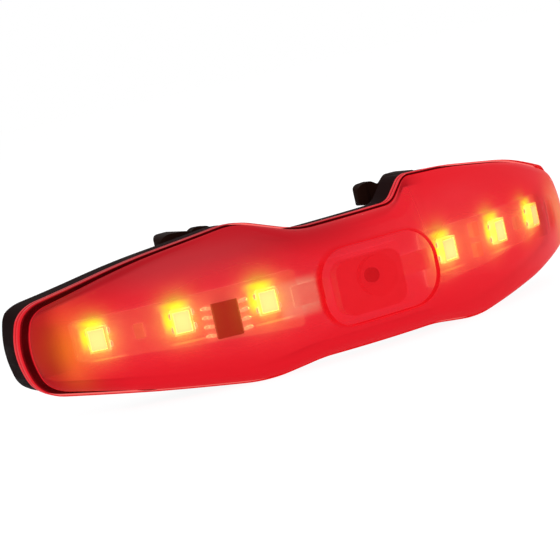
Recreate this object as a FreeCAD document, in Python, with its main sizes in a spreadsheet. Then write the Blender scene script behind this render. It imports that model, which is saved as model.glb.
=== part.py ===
import FreeCAD, Part
import math
import os

import Sketcher
from FreeCAD import Rotation, Vector

# Helmet light: a red wrap-round lens on a shallow black housing, held on a helmet's rear adjuster by two hooks.
# The frame is the user's: +Z is up, the lens faces -Y and +X is the right-hand side seen from the front.
# The origin is midway between the two hooks, in the plane where their tips bear on the adjuster.
# Everything inside follows one arc about an upright axis behind the light. A depth called a level is counted
# from the front of the lamps along that arc's radius: positive towards the viewer, negative towards the helmet.

SIZES = [
    ("led_radius", 60.8, "arc radius at the front of the lamps"),
    ("arc_centre", 40.0, "Y of the upright axis of the arc"),
    ("tool_height", 20.0, "half height of the cutting cylinders"),
    ("tool_depth", 40.0, "reach of the cutting prisms before the origin plane"),
    ("tool_back", 20.0, "reach of the cutting prisms behind the origin plane"),
    ("over_cut", 1.0, "how far a cutting solid stands out of what it cuts"),
    ("waist_x", 9.0, "half length of the narrow waist"),
    ("waist_top", 8.8, "top of the outline at the waist"),
    ("waist_bottom", 9.35, "bottom of the outline at the waist"),
    ("bulge_x", 17.0, "distance of the widest point from the middle"),
    ("bulge_top", 11.8, "top corner of the outline at its widest"),
    ("bulge_bottom", 10.55, "bottom corner of the outline at its widest"),
    ("shoulder_x", 31.0, "where the long sides bend"),
    ("shoulder_top", 9.75, "top of the outline at the bend"),
    ("shoulder_bottom", 8.5, "bottom of the outline at the bend"),
    ("end_bow", 1.5, "how far the bowed end stands out beyond its corners"),
    ("corner_top", 6.1, "height of the top end corner"),
    ("corner_bottom", 6.4, "height of the bottom end corner"),
    ("half_length", 45.4, "half length of the light"),
    ("waist_round", 12.0, "radius of the waist's top bend"),
    ("bulge_round", 9.0, "radius of the top of the bulge"),
    ("soft_round", 20.0, "radius of the bottom bends"),
    ("step_foot_x", 6.0, "foot of the steep step from the waist to the right bulge"),
    ("step_foot_top", 9.0, "height of that foot"),
    ("step_top_x", 8.9, "top of the steep step"),
    ("step_top", 12.2, "height of the top of the steep step"),
    ("step_round", 2.5, "radius of both ends of the steep step"),
    ("side_round", 60.0, "radius where the long sides bend"),
    ("corner_round", 4.0, "radius of the end corners"),
    ("end_round", 14.0, "radius of the bowed end"),
    ("lens_crown", 5.0, "level of the lens front at mid height"),
    ("lens_end_level", 1.9, "level of the lens front at the ends"),
    ("crown_radius", 18.0, "radius of the lens front's crown, upright"),
    ("crown_flats", 8, "narrow flats that the crown is drawn in"),
    ("lens_wall", 1.0, "wall of the lens"),
    ("rim_side", 0.35, "width of the rim along the long sides of the lens"),
    ("rim_end", 1.0, "width of the rim at the ends of the lens"),
    ("rim_front", 0.2, "level of the rim's front"),
    ("rim_back", 1.3, "depth of the rim's back below the lamps"),
    ("housing_inset", 0.25, "how far the housing stays inside the lens outline"),
    ("housing_wall", 1.5, "side wall of the housing"),
    ("housing_back", 6.0, "depth of the housing's back below the lamps"),
    ("housing_floor", 1.4, "thickness of the housing's back"),
    ("end_blunt", 5.1, "depth of the housing's ends behind the lens rim"),
    ("wiring_x", 39.5, "half length of the wiring space behind the lamp tray"),
    ("wiring_top", 5.6, "top of the wiring space"),
    ("wiring_bottom", 5.4, "bottom of the wiring space"),
    ("tray_gap", 0.25, "gap round the lamp tray"),
    ("tray_thickness", 1.2, "lamp tray"),
    ("board_thickness", 0.6, "printed boards"),
    ("board_inner_x", 10.0, "inner end of a lamp board"),
    ("board_outer_x", 38.6, "outer end of a lamp board"),
    ("board_top", 3.4, "top edge of the boards at the inner end"),
    ("board_bottom", 4.6, "bottom edge of the boards at the inner end"),
    ("board_end_top", 2.9, "top edge of a lamp board at its outer end"),
    ("board_end_bottom", 2.7, "bottom edge of a lamp board at its outer end"),
    ("switch_board_x", 6.4, "half length of the switch board"),
    ("link_start", 5.6, "inner end of a link between boards"),
    ("link_end", 11.0, "outer end of a link between boards"),
    ("link_height", 2.9, "height of a link"),
    ("link_drop", 0.35, "distance of the links below mid height"),
    ("link_thickness", 0.15, "thickness of a link"),
    ("lamp_first", 14.85, "arc distance of the inner lamp from the middle"),
    ("lamp_pitch", 12.0, "arc distance from lamp to lamp"),
    ("lamp_width", 2.8, "lamp package along the arc"),
    ("lamp_height", 3.5, "lamp package upright"),
    ("lamp_thickness", 0.95, "lamp package depth"),
    ("window_width", 2.3, "lamp window along the arc"),
    ("window_height", 2.9, "lamp window upright"),
    ("window_depth", 0.45, "lamp window depth"),
    ("window_gap", 0.03, "gap round a lamp window"),
    ("chip_place", 20.85, "arc distance of the chip, on the left board"),
    ("chip_drop", 0.95, "distance of the chip below mid height"),
    ("chip_width", 3.9, "chip body along the arc"),
    ("chip_length", 4.9, "chip body upright"),
    ("chip_height", 1.3, "chip body depth"),
    ("chip_standoff", 0.15, "gap under the chip"),
    ("leg_pitch", 1.27, "pitch of the chip legs"),
    ("leg_width", 0.42, "width of a chip leg"),
    ("leg_thickness", 0.2, "thickness of a chip leg"),
    ("leg_reach", 1.05, "how far a leg stands out of the chip"),
    ("leg_bend", 0.37, "how far a leg runs out before it drops"),
    ("resistor_length", 2.0, "chip resistor, length"),
    ("resistor_width", 1.25, "chip resistor, width"),
    ("resistor_height", 0.5, "chip resistor, height"),
    ("resistor_place", 33.0, "arc distance of the resistors"),
    ("capacitor_length", 2.0, "chip capacitor, length"),
    ("capacitor_width", 1.25, "chip capacitor, width"),
    ("capacitor_height", 0.9, "chip capacitor, height"),
    ("capacitor_place", 21.0, "arc distance of the capacitors, on the right board"),
    ("capacitor_rise", 1.5, "distance of a capacitor's middle from mid height"),
    ("pad_half_width", 9.0, "half width of the press pad in the lens"),
    ("pad_top", 5.0, "top of the press pad"),
    ("pad_bottom", 5.6, "bottom of the press pad"),
    ("pad_round", 4.2, "corner radius of the press pad"),
    ("pad_gap", 0.1, "hairline gap round the press pad"),
    ("pad_flange", 0.6, "flange that keeps the pad behind the lens"),
    ("pad_flange_thickness", 0.5, "thickness of that flange"),
    ("pad_flange_gap", 0.12, "gap between the flange and the lens"),
    ("boss_radius", 2.75, "boss behind the press pad"),
    ("boss_gap", 0.05, "gap between the boss and the switch plunger"),
    ("press_travel", 0.4, "travel of the press pad"),
    ("plunger_radius", 1.0, "switch plunger"),
    ("plunger_top", 1.6, "level of the plunger's tip"),
    ("plunger_length", 1.95, "length of the plunger"),
    ("plunger_gap", 0.06, "running gap round the plunger"),
    ("switch_width", 4.5, "tact switch body, square"),
    ("switch_height", 1.5, "tact switch body, depth"),
    ("cover_width", 10.4, "frame round the switch, width"),
    ("cover_height", 7.8, "frame round the switch, height"),
    ("cover_drop", 1.0, "distance of the frame below mid height"),
    ("cover_top", 1.0, "level of the frame's front"),
    ("cover_round", 2.0, "corner radius of the frame"),
    ("switch_roof_level", 0.7, "level of the underside of the frame's roof"),
    ("cover_gap", 0.1, "gap between the frame and the switch"),
    ("cap_clip_gap", 0.7, "gap between a cap and the arm of the hook beside it, seen from the back"),
    ("cell_lift", 0.3, "height of the cell centres"),
    ("cell_radius", 8.0, "coin cell, radius"),
    ("cell_height", 3.2, "coin cell, thickness"),
    ("cell_front", 4.2, "depth of the cell's front below the lamps"),
    ("cell_gap", 0.2, "gap round a cell"),
    ("pod_radius", 9.3, "outside of a battery well"),
    ("pod_end", 8.7, "depth of a battery well's mouth below the lamps"),
    ("cap_running_gap", 0.08, "running gap round a cap's plug"),
    ("cap_clearance", 0.15, "gap between a cap's plug and the cell"),
    ("cap_head_gap", 0.1, "gap between a cap's head and the mouth of its well"),
    ("cap_thickness", 0.95, "head of a cap"),
    ("cap_radius", 9.1, "radius of a cap's head"),
    ("cap_chamfer", 0.3, "chamfer of a cap's head"),
    ("coin_slot_width", 1.8, "coin slot, width"),
    ("coin_slot_length", 11.0, "coin slot, length"),
    ("coin_slot_depth", 0.65, "coin slot, depth"),
    ("lug_reach", 0.5, "how far a bayonet lug stands out of the plug"),
    ("lug_thickness", 0.45, "thickness of a bayonet lug"),
    ("lug_angle", 28.0, "degrees that a bayonet lug spans"),
    ("lug_gap", 0.1, "gap round a bayonet lug"),
    ("lug_play", 8.0, "degrees by which a lug's way in is wider than the lug"),
    ("cap_turn", 60.0, "degrees from locked to free"),
    ("leaf_width", 3.0, "contact leaf, width"),
    ("leaf_thickness", 0.2, "contact leaf, thickness"),
    ("leaf_length", 7.0, "contact leaf, length"),
    ("leaf_gap", 0.2, "gap between a leaf's foot and the tray"),
    ("leaf_bend", 2.0, "distance of the tongue's root from the end of the foot"),
    ("leaf_tip", 1.0, "flat tip of the tongue"),
    ("clip_inner_x", 15.9, "inner side of a hook's arm"),
    ("clip_arm", 2.0, "thickness of a hook's arm"),
    ("clip_outer_x", 21.4, "outer side of a hook's head"),
    ("clip_tip_x", 12.2, "tips of the hooks"),
    ("clip_window_x", 14.4, "edge of the hook's head between its ears"),
    ("clip_head_front", 0.4, "Y of the front of a hook's head"),
    ("clip_head_back", 2.2, "Y of the back of a hook's head"),
    ("clip_flare_y", 5.6, "how far before the head the arm flares"),
    ("clip_top", 10.75, "top of a hook's outer hump"),
    ("clip_tip_top", 10.45, "top of a hook's ear"),
    ("clip_dip", 9.45, "dip between hump and ear"),
    ("clip_dip_shift", 0.6, "distance of the dip from the inner side of the arm"),
    ("clip_wave", 1.65, "distance from the dip to the humps beside it"),
    ("clip_wave_rise", 0.2, "how far the corners of the humps stand over their rounded tops"),
    ("clip_bend", 1.3, "radius of the bends of a hook's head, seen from the front"),
    ("clip_round", 0.7, "radius of a hook's tips and inner corners"),
    ("clip_shoulder", 2.0, "radius of a hook's outer bends, seen from above"),
    ("clip_flare_run", 3.1, "depth over which the arm flares"),
    ("clip_snap_step", 0.8, "run of the snap's slope before its tip"),
    ("clip_ear", 7.3, "underside of a hook's ear"),
    ("clip_bottom", 7.5, "bottom of a hook's arm and foot"),
    ("clip_ear_bottom", 9.8, "lowest point of a hook's lower ear"),
    ("foot_thickness", 1.6, "foot of a hook on the housing"),
    ("foot_inner_x", 7.5, "inner end of a foot"),
    ("foot_round", 2.0, "corner radius of a foot"),
]

doc = FreeCAD.newDocument("HelmetLight")
sheet = doc.addObject("Spreadsheet::Sheet", "Sizes")
for row, (alias, value, meaning) in enumerate(SIZES, start=1):
    sheet.set("A%d" % row, meaning)
    sheet.set("B%d" % row, str(value))
    sheet.setAlias("B%d" % row, alias)
doc.recompute()

nodes = {}


def size(alias):
    """Value of one cell of the sheet, in millimetres or degrees."""
    return float(getattr(sheet, alias))


def formula(text):
    """Expression for the sheet: every word of the text that is an alias gets the sheet's name before it."""
    words = text.replace("(", "( ").replace(")", " )").split()
    known = {alias for alias, _, _ in SIZES}
    return " ".join("Sizes." + word if word in known else word for word in words)


def bind(target, **formulas):
    """Tie properties of one object to the sheet; x, y and z stand for its place."""
    for name, text in formulas.items():
        prop = "Placement.Base." + name if name in ("x", "y", "z") else name
        target.setExpression(prop, formula(text))


def finish(target, node):
    """Name an object as the sub-part that it is."""
    target.Label = node
    nodes[node] = target
    return target


# Plain solids and booleans

def block(name, length, width, height, x, y, z):
    solid = doc.addObject("Part::Box", name)
    bind(solid, Length=length, Width=width, Height=height, x=x, y=y, z=z)
    return solid


def end_depth(level):
    """Y of a level at the very ends of the light."""
    return size("arc_centre") - math.sqrt((size("led_radius") + level) ** 2 - size("half_length") ** 2)


def front_radius():
    """Radius of the lens front seen from above, through its middle and its ends."""
    sweep = end_depth(size("lens_end_level")) - (size("arc_centre") - size("led_radius") - size("lens_crown"))
    return (size("half_length") ** 2 + sweep ** 2) / (2 * sweep)


def arc_cylinder(name, level):
    """Upright cylinder about the arc's axis, out to one level."""
    solid = doc.addObject("Part::Cylinder", name)
    bind(solid, Radius="led_radius + " + level, Height="2 * tool_height", y="arc_centre", z="0 - tool_height")
    return solid


def crowned_round(name, inward=0.0):
    """Barrel about an upright axis whose skin is the lens front, or lies inward of it by some distance.

    The crown is drawn in narrow flats, each within a tenth of a millimetre of the arc, so that it stays light."""
    reach, crown = front_radius() - inward, size("crown_radius") - inward
    half = size("bulge_top") + size("lens_wall")
    flats = round(size("crown_flats"))
    heights = [half * (2 * step / flats - 1) for step in range(flats + 1)]
    skin = [Vector(reach - crown + math.sqrt(crown ** 2 - height ** 2), 0, height) for height in heights]
    profile = doc.addObject("Part::Feature", name + "_profile")
    profile.Shape = Part.makePolygon([Vector(0, 0, -half)] + skin + [Vector(0, 0, half), Vector(0, 0, -half)])
    solid = doc.addObject("Part::Revolution", name)
    solid.Source = profile
    solid.Axis = Vector(0, 0, 1)
    solid.Angle = 360
    solid.Solid = True
    bind(solid, y="arc_centre - led_radius - lens_crown + %.6f" % front_radius())
    return solid


def rod(name, radius, length, x, front, z):
    """Cylinder along Y from its front face backwards, at the middle of the arc."""
    solid = doc.addObject("Part::Cylinder", name)
    solid.Placement.Rotation = Rotation(Vector(1, 0, 0), -90)
    bind(solid, Radius=radius, Height=length, x=x, y=front, z=z)
    return solid


def cut(name, base, tool):
    result = doc.addObject("Part::Cut", name)
    result.Base, result.Tool = base, tool
    return result


def common(name, *solids):
    result = doc.addObject("Part::MultiCommon", name)
    result.Shapes = list(solids)
    return result


def fuse(name, *solids):
    result = doc.addObject("Part::MultiFuse", name)
    result.Shapes = list(solids)
    return result


def arc_band(name, outer_level, inner_level):
    """Ring about the arc's axis between two levels."""
    return cut(name, arc_cylinder(name + "_outer", outer_level), arc_cylinder(name + "_inner", inner_level))


# Rounded outlines

def rounded_wire(corners, plane):
    """Closed wire through corners (u, v, radius), each corner an arc tangent to its two sides."""
    points = [plane(u, v) for u, v, _ in corners]
    pieces = []
    count = len(points)
    for index in range(count):
        here, before, after = points[index], points[index - 1], points[(index + 1) % count]
        radius = corners[index][2]
        if radius == 0:
            pieces.append((here, here, here))
            continue
        back, ahead = (before - here).normalize(), (after - here).normalize()
        half_angle = math.acos(max(-1.0, min(1.0, back.dot(ahead)))) / 2
        run = radius / math.tan(half_angle)
        middle = (back + ahead).normalize()
        on_arc = here + middle * (radius / math.sin(half_angle) - radius)
        pieces.append((here + back * run, on_arc, here + ahead * run))
    edges = []
    for index in range(count):
        start, through, end = pieces[index]
        if corners[index][2] > 0:
            edges.append(Part.Arc(start, through, end).toShape())
        edges.append(Part.makeLine(end, pieces[(index + 1) % count][0]))
    return Part.Wire(edges)


def front_plane(u, v):
    """Point of the front view: u is X and v is Z."""
    return Vector(u, 0, v)


def top_plane(u, v):
    """Point of the top view: u is X and v is Y."""
    return Vector(u, v, 0)


def wire_object(name, corners, plane=front_plane):
    outline = doc.addObject("Part::Feature", name)
    outline.Shape = rounded_wire(corners, plane)
    return outline


def prism(name, outline, grow="0"):
    """Front-view outline, grown or shrunk by a distance, carried right through along Y."""
    base = outline
    if grow != "0":
        base = doc.addObject("Part::Offset2D", name + "_offset")
        base.Source = outline
        base.setExpression("Value", formula(grow))
    solid = doc.addObject("Part::Extrusion", name)
    solid.Base = base
    solid.DirMode = "Custom"
    solid.Dir = Vector(0, 1, 0)
    solid.Solid = True
    bind(solid, LengthFwd="tool_back", LengthRev="tool_depth")
    return solid


def light_outline(name, side=0.0, end=0.0):
    """Front view of the light: narrow waist, two bulges, long tapers and bowed ends.

    At the top the waist rises to the right bulge in a steep step, and to the left one in a soft curve.
    The lens body's own outline lies inside it by one distance along the sides and by another at the ends."""
    corner = (side + end) / 2
    corner_x, corner_round = size("half_length") - size("end_bow") - end, size("corner_round") - corner
    step = [
        (size("step_foot_x"), size("step_foot_top") - side, size("step_round") + side),
        (size("step_top_x"), size("step_top") - side, size("step_round") - side),
        (size("bulge_x"), size("bulge_top") - side, size("side_round")),
    ]
    soft = [
        (size("bulge_x"), size("bulge_top") - side, size("bulge_round") - side),
        (size("waist_x"), size("waist_top") - side, size("waist_round") + side),
    ]
    half = [
        (size("shoulder_x"), size("shoulder_top") - side, size("side_round")),
        (corner_x, size("corner_top") - corner, corner_round),
        (size("half_length") - end, 0.0, size("end_round") - end),
        (corner_x, corner - size("corner_bottom"), corner_round),
        (size("shoulder_x"), side - size("shoulder_bottom"), size("side_round")),
        (size("bulge_x"), side - size("bulge_bottom"), size("soft_round") - side),
        (size("waist_x"), side - size("waist_bottom"), size("soft_round") + side),
    ]
    mirrored = [(-x, z, radius) for x, z, radius in half[::-1] + soft]
    return wire_object(name, step + half + mirrored)


def pad_outline():
    """Front view of the press pad in the middle of the lens."""
    right, top, bottom, radius = size("pad_half_width"), size("pad_top"), -size("pad_bottom"), size("pad_round")
    corners = [(right, top, radius), (right, bottom, radius), (-right, bottom, radius), (-right, top, radius)]
    return wire_object("pad_outline", corners)


outline = light_outline("light_outline")
lens_outline = light_outline("lens_outline", size("rim_side"), size("rim_end"))
pad = pad_outline()
doc.recompute()


# Lens and what closes it

def make_lens():
    """Shell with a crowned front and sides parallel to Y, on a flat rim."""
    body = common("lens_body", prism("lens_sides", lens_outline), crowned_round("lens_front"))
    rim = common("lens_rim", prism("rim_sides", outline), arc_cylinder("rim_front_face", "rim_front"))
    solid = fuse("lens_solid", body, rim)
    hollow = common("lens_hollow", prism("hollow_sides", lens_outline, "0 - lens_wall"),
                    crowned_round("hollow_front", size("lens_wall")))
    shell = cut("lens_shell", solid, hollow)
    shell = cut("lens_seated", shell, arc_cylinder("rim_back_face", "( 0 - rim_back )"))
    finish(cut("lens", shell, prism("pad_hole", pad, "pad_gap")), "lens")


def make_mode_button():
    """Press pad flush with the lens front, kept by a flange behind the lens, with a boss over the switch."""
    flange_front = size("lens_wall") + size("pad_flange_gap")
    face = cut("pad_face", common("pad_body", prism("pad_sides", pad), crowned_round("pad_front")),
               crowned_round("pad_back", flange_front))
    flange = cut("pad_flange_plate",
                 common("pad_flange_body", prism("pad_flange_sides", pad, "pad_flange"),
                        crowned_round("pad_flange_front", flange_front)),
                 crowned_round("pad_flange_back", flange_front + size("pad_flange_thickness")))
    boss = common("pad_boss",
                  rod("pad_boss_rod", "boss_radius", "lens_crown - plunger_top - boss_gap", "0",
                      "arc_centre - led_radius - lens_crown", "0"),
                  crowned_round("pad_boss_limit", size("lens_wall")))
    finish(fuse("mode_button", face, flange, boss), "mode_button")


# Places along the arc

def lamp_level():
    """Y of the lamps' front at the middle of the arc."""
    return size("arc_centre") - size("led_radius")


def turned(shape, arc_distance):
    """Copy of a shape moved along the arc from the middle."""
    twin = shape.copy()
    angle = math.degrees(arc_distance / size("led_radius"))
    twin.rotate(Vector(0, size("arc_centre"), 0), Vector(0, 0, 1), angle)
    return twin


def group(node, shapes):
    """Several equal pieces in one sub-part."""
    piece = doc.addObject("Part::Feature", node)
    piece.Shape = Part.makeCompound(shapes)
    return finish(piece, node)


def lamp_places():
    """Arc distances of the lamps, from left to right."""
    right = [size("lamp_first") + index * size("lamp_pitch") for index in range(3)]
    return [-place for place in reversed(right)] + right


def cell_place():
    """Arc distance of a cell from the middle: the inner edge of its cap just passes the arm of the hook."""
    reach = size("led_radius") - size("pod_end") - size("cap_head_gap") - size("cap_thickness")
    clear = size("clip_inner_x") + size("clip_arm") + size("cap_clip_gap")
    angle = math.asin(clear / math.hypot(reach, size("cap_radius"))) + math.atan2(size("cap_radius"), reach)
    return angle * size("led_radius")


# Housing

def make_rear_housing():
    """Open tray with a ledge for the lamps' tray, and two battery wells that stand out at the back."""
    end = end_depth(-size("rim_back")) + size("end_blunt")
    reach = block("housing_reach", "4 * half_length", "tool_depth + %.6f" % end, "2 * tool_height",
                  "( 0 - 2 ) * half_length", "0 - tool_depth", "0 - tool_height")
    outer = common("housing_block", prism("housing_sides", outline, "0 - housing_inset"), reach,
                   arc_band("housing_band", "( 0 - rim_back )", "( 0 - housing_back )"))
    upper = common("tray_space", prism("tray_space_sides", outline, "0 - housing_inset - housing_wall"),
                   arc_band("tray_space_band", "2", "( 0 - lamp_thickness ) - board_thickness - tray_thickness"))
    wiring = block("wiring_block", "2 * wiring_x", "2 * tool_depth", "wiring_top + wiring_bottom", "0 - wiring_x",
                   "0 - tool_depth", "0 - wiring_bottom")
    lower = common("wiring_space", wiring, arc_band("wiring_space_band", "2", "( 0 - housing_back ) + housing_floor"))
    hollowed = cut("housing_lower_cut", cut("housing_upper_cut", outer, upper), lower)
    doc.recompute()

    wells = [turned(well_solid(), side * cell_place()) for side in (-1, 1)]
    bores = [turned(well_hollow(), side * cell_place()) for side in (-1, 1)]

    housing = doc.addObject("Part::Feature", "rear_housing")
    housing.Shape = hollowed.Shape.fuse(wells).cut(bores).removeSplitter()
    finish(housing, "rear_housing")


def y_cylinder(radius, front, back, x=0.0, z=0.0):
    """Cylinder along Y between two Y values."""
    return Part.makeCylinder(radius, back - front, Vector(x, front, z), Vector(0, 1, 0))


def well_solid():
    """Battery well outside, from the housing's floor to its mouth, at the middle of the arc."""
    front = lamp_level() + size("housing_back") - size("housing_floor")
    return y_cylinder(size("pod_radius"), front, lamp_level() + size("pod_end"), 0.0, size("cell_lift"))


def well_radius():
    return size("cell_radius") + size("cell_gap")


def groove_back():
    """Depth of the ring groove's side towards the mouth, below the lamps."""
    return size("pod_end") - size("lug_thickness") - size("lug_gap")


def well_hollow():
    """Bore for the cell and the cap, with the ring groove and the two ways in for the lugs."""
    level, lift = lamp_level(), size("cell_lift")
    opening = level + size("pod_end") + size("over_cut")
    bore = y_cylinder(well_radius(), level + size("cell_front") - size("cell_gap"), opening, 0.0, lift)
    lug_outer = well_radius() - size("cap_running_gap") + size("lug_reach") + size("lug_gap")
    groove_front = level + groove_back() - size("lug_thickness") - 2 * size("lug_gap")
    groove = y_cylinder(lug_outer, groove_front, level + groove_back(), 0.0, lift)
    way = size("lug_angle") + size("lug_play")
    ways = [sector(lug_outer, groove_front, opening, way, size("cap_turn") + turn) for turn in (0, 180)]
    for piece in ways:
        piece.translate(Vector(0, 0, lift))
    return bore.fuse([groove] + ways)


def sector(radius, front, back, width, middle):
    """Slice of a cylinder along Y; its middle lies at some degrees from straight up, turning about +Y."""
    def on_circle(degrees):
        angle = math.radians(degrees)
        return Vector(radius * math.sin(angle), front, radius * math.cos(angle))

    start, through, end = [on_circle(middle + turn) for turn in (-width / 2, 0, width / 2)]
    hub = Vector(0, front, 0)
    edges = [Part.makeLine(hub, start), Part.Arc(start, through, end).toShape(), Part.makeLine(end, hub)]
    return Part.Face(Part.Wire(edges)).extrude(Vector(0, back - front, 0))


# Lamp tray and boards

def make_led_carrier():
    plate = common("led_carrier", prism("tray_sides", outline, "0 - housing_inset - housing_wall - tray_gap"),
                   arc_band("tray_band", "( 0 - lamp_thickness ) - board_thickness",
                            "( 0 - lamp_thickness ) - board_thickness - tray_thickness"))
    finish(plate, "led_carrier")


def board_profile(name, corners):
    corner_round = size("board_thickness")
    return prism(name + "_sides", wire_object(name + "_outline", [(x, z, corner_round) for x, z in corners]))


def board_band(name):
    return arc_band(name, "( 0 - lamp_thickness )", "( 0 - lamp_thickness ) - board_thickness")


def make_led_board(side, node):
    """Curved strip that carries three lamps, a little narrower towards its outer end."""
    corners = [
        (side * size("board_inner_x"), size("board_top")),
        (side * size("board_outer_x"), size("board_end_top")),
        (side * size("board_outer_x"), -size("board_end_bottom")),
        (side * size("board_inner_x"), -size("board_bottom")),
    ]
    finish(common(node, board_profile(node, corners), board_band(node + "_band")), node)


def make_switch_board():
    reach = size("switch_board_x")
    corners = [
        (-reach, size("board_top")), (reach, size("board_top")),
        (reach, -size("board_bottom") - size("cover_drop")), (-reach, -size("board_bottom") - size("cover_drop")),
    ]
    finish(common("switch_board", board_profile("switch_board", corners), board_band("switch_board_band")),
           "switch_board")


def make_board_links():
    """Two flat links, each soldered across the gap between two boards."""
    plates = []
    for name, side_x in (("left_link", "( 0 - link_end )"), ("right_link", "link_start")):
        plates.append(block(name, "link_end - link_start", "2 * tool_depth", "link_height", side_x,
                            "( 0 - tool_depth )", "( 0 - link_drop ) - link_height / 2"))
    band = arc_band("link_band", "( 0 - lamp_thickness ) + link_thickness", "( 0 - lamp_thickness )")
    finish(common("board_links", fuse("link_plates", *plates), band), "board_links")


# Parts on the boards, each modelled at the middle of the arc and copied along it

def lamp_body():
    """Square lamp package with a window pocket in its front."""
    body = doc.addObject("PartDesign::Body", "lamp")
    rectangle_pad(body, "lamp_block", "lamp_width", "lamp_height", "lamp_thickness - window_gap")
    rectangle_pocket(body, "lamp_window_pocket", "window_width", "window_height", "window_depth")
    doc.recompute()
    return body


def plane_of(body, role):
    return [feature for feature in body.Origin.OriginFeatures if feature.Role == role][0]


def rectangle_sketch(body, name, width, height, offset="0"):
    """Rectangle centred on the body's own Y axis, in its front plane or behind it."""
    sketch = body.newObject("Sketcher::SketchObject", name)
    sketch.AttachmentSupport = [(plane_of(body, "XZ_Plane"), "")]
    sketch.MapMode = "FlatFace"
    sketch.setExpression("AttachmentOffset.Base.z", formula(offset))
    across, up = 1.0, 1.0
    corners = [Vector(-across, -up, 0), Vector(across, -up, 0), Vector(across, up, 0), Vector(-across, up, 0)]
    for index in range(4):
        sketch.addGeometry(Part.LineSegment(corners[index], corners[(index + 1) % 4]), False)
    for index in range(4):
        sketch.addConstraint(Sketcher.Constraint("Coincident", index, 2, (index + 1) % 4, 1))
    for index in (0, 2):
        sketch.addConstraint(Sketcher.Constraint("Horizontal", index))
    for index in (1, 3):
        sketch.addConstraint(Sketcher.Constraint("Vertical", index))
    sketch.addConstraint(Sketcher.Constraint("Symmetric", 0, 1, 1, 2, -1, 1))
    wide = sketch.addConstraint(Sketcher.Constraint("DistanceX", 0, 1, 0, 2, 2 * across))
    tall = sketch.addConstraint(Sketcher.Constraint("DistanceY", 1, 1, 1, 2, 2 * up))
    sketch.setExpression("Constraints[%d]" % wide, formula(width))
    sketch.setExpression("Constraints[%d]" % tall, formula(height))
    return sketch


def rectangle_pad(body, name, width, height, depth, offset="0"):
    feature = body.newObject("PartDesign::Pad", name)
    feature.Profile = rectangle_sketch(body, name + "_sketch", width, height, offset)
    feature.setExpression("Length", formula(depth))
    feature.Reversed = True
    doc.recompute()
    return feature


def rectangle_pocket(body, name, width, height, depth, offset="0"):
    feature = body.newObject("PartDesign::Pocket", name)
    feature.Profile = rectangle_sketch(body, name + "_sketch", width, height, offset)
    feature.setExpression("Length", formula(depth))
    doc.recompute()
    return feature


def depth_formula(depth):
    """Y of a plane at some depth behind the front of the lamps, at the middle of the arc."""
    return "arc_centre - led_radius + " + depth


def on_boards(shape, depth):
    """Shape modelled from Y = 0 backwards, moved so that its front lies at a depth below the lamps."""
    twin = shape.copy()
    twin.translate(Vector(0, lamp_level() + depth, 0))
    return twin


def make_lamps():
    body = lamp_body()
    window = block("lamp_window", "window_width - 2 * window_gap", "window_depth - 2 * window_gap",
                   "window_height - 2 * window_gap", "window_gap - window_width / 2", "window_gap",
                   "window_gap - window_height / 2")
    doc.recompute()
    group("led_packages", [turned(on_boards(body.Shape, size("window_gap")), place) for place in lamp_places()])
    group("led_windows", [turned(on_boards(window.Shape, size("window_gap")), place) for place in lamp_places()])


def chip_front():
    """Level of the chip's front, as a depth below the lamps."""
    return size("lamp_thickness") - size("chip_standoff") - size("chip_height")


def make_chip():
    """Eight-legged controller chip on the left board: four gull-wing legs on each side."""
    body = doc.addObject("PartDesign::Body", "controller")
    rectangle_pad(body, "controller_block", "chip_width", "chip_length", "chip_height")
    doc.recompute()
    drop = Vector(0, 0, -size("chip_drop"))
    solid = on_boards(body.Shape, chip_front())
    solid.translate(drop)
    group("controller_chip", [turned(solid, -size("chip_place"))])

    legs = []
    for side in (-1, 1):
        for index in range(4):
            leg = chip_leg(side)
            leg.translate(drop + Vector(0, lamp_level() + size("lamp_thickness"), (index - 1.5) * size("leg_pitch")))
            legs.append(turned(leg, -size("chip_place")))
    group("chip_legs", legs)


def chip_leg(side):
    """Leg that leaves the chip at mid height, drops and runs out flat on the board, whose face is Y = 0."""
    sheet_metal, reach = size("leg_thickness"), size("leg_reach")
    start = size("chip_width") / 2
    rise = size("chip_standoff") + size("chip_height") / 2
    bend = start + size("leg_bend")
    profile = [
        (start, -rise), (bend + sheet_metal, -rise), (bend + sheet_metal, -sheet_metal),
        (start + reach, -sheet_metal), (start + reach, 0), (bend, 0), (bend, sheet_metal - rise),
        (start, sheet_metal - rise),
    ]
    wire = Part.makePolygon([top_plane(side * u, v) for u, v in profile + profile[:1]])
    leg = Part.Face(wire).extrude(Vector(0, 0, size("leg_width")))
    leg.translate(Vector(0, 0, -size("leg_width") / 2))
    return leg


def small_part(name, width, height, depth):
    """Chip resistor or capacitor: a plain block standing upright on the board."""
    body = doc.addObject("PartDesign::Body", name)
    rectangle_pad(body, name + "_block", width, height, depth)
    doc.recompute()
    return body.Shape


def make_small_parts():
    resistor = small_part("resistor", "resistor_width", "resistor_length", "resistor_height")
    capacitor = small_part("capacitor", "capacitor_width", "capacitor_length", "capacitor_height")
    front = size("lamp_thickness") - size("resistor_height")
    resistors = [turned(on_boards(resistor, front), side * size("resistor_place")) for side in (-1, 1)]
    group("chip_resistors", resistors)
    front = size("lamp_thickness") - size("capacitor_height")
    capacitors = []
    for row in (-1, 1):
        piece = on_boards(capacitor, front)
        piece.translate(Vector(0, 0, row * size("capacitor_rise")))
        capacitors.append(turned(piece, size("capacitor_place")))
    group("chip_capacitors", capacitors)


# Switch in the middle

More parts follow.
